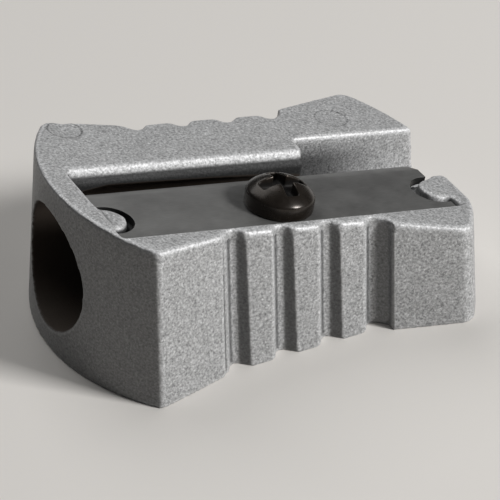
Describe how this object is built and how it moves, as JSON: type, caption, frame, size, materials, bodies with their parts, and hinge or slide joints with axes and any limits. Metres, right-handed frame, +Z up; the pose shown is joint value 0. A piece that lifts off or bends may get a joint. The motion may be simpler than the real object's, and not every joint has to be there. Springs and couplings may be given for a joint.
{
  "type": "hand-held pencil sharpener",
  "caption": "Die-cast metal wedge pencil sharpener with a pencil hole, finger grooves, an open shavings trench and a steel blade held by a cross-recess screw.",
  "frame": {"origin": "on the table under the middle of the wedge", "axes": "+Z up; X along the pencil, from the hole end at -X to the thin open end at +X; the blade's rail side is -Y"},
  "size_m": [0.0291, 0.0194, 0.0115],
  "materials": {
    "cast_metal": "sandblasted die-cast grey",
    "blade_steel": "dark blued steel, finely brushed",
    "black_screw": "glossy black"
  },
  "bodies": {
    "body": {"body": "cast_metal"},
    "blade": {"blade": "blade_steel"},
    "screw": {"screw": "black_screw"}
  },
  "joints": [
    {"name": "blade_lift", "type": "slide", "parent": "body", "child": "blade", "axis": [0.1867, 0, 0.9824], "range_m": [0, 0.00405]},
    {"name": "screw_turn", "type": "hinge", "parent": "blade", "child": "screw", "pos_m": [-0.00009, -0.0037, 0.00846], "axis": [0.1867, 0, 0.9824], "range_deg": [0, 3240]}
  ],
  "couplings": [
    {"joint": "screw_turn", "follows": "blade_lift", "rad_per_m": 13963}
  ]
}
